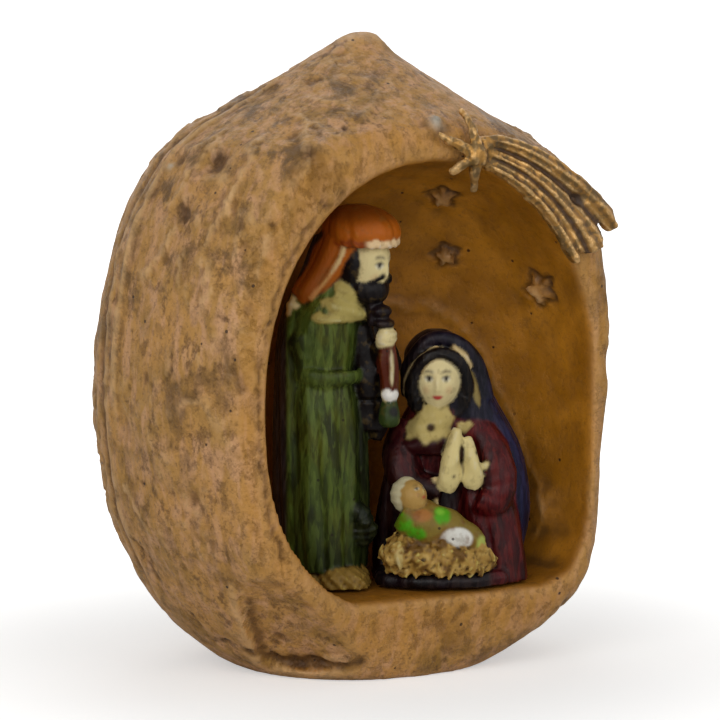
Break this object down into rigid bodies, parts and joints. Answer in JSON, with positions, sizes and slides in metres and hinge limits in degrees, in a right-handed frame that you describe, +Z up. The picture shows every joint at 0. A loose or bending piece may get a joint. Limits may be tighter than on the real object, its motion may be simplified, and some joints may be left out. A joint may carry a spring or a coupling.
{
  "type": "walnut shell nativity",
  "caption": "Hand-painted cast resin walnut, open at the front, with a standing Joseph, a kneeling Mary and the child on straw in its niche, stars on the wall and a gilt comet on the rim",
  "frame": {"origin": "middle of the flat base", "axes": "+Z up through the nut's tip, the open front faces -Y, +X to the right seen from the front"},
  "size_m": [0.0497, 0.0381, 0.06],
  "materials": {
    "walnut_paint": "cast resin under ochre paint with a brown wash, satin",
    "gilt_paint": "gold paint, worn, dark in its grooves",
    "joseph_paint": "hand-painted resin, green robe, orange headcloth, dark cloak",
    "mary_paint": "hand-painted resin, maroon dress, dark blue veil",
    "manger_paint": "hand-painted resin, straw brown with green and white patches"
  },
  "bodies": {
    "root": {"walnut_shell": "walnut_paint", "comet": "gilt_paint", "joseph": "joseph_paint", "mary": "mary_paint", "child_in_manger": "manger_paint"}
  },
  "joints": []
}
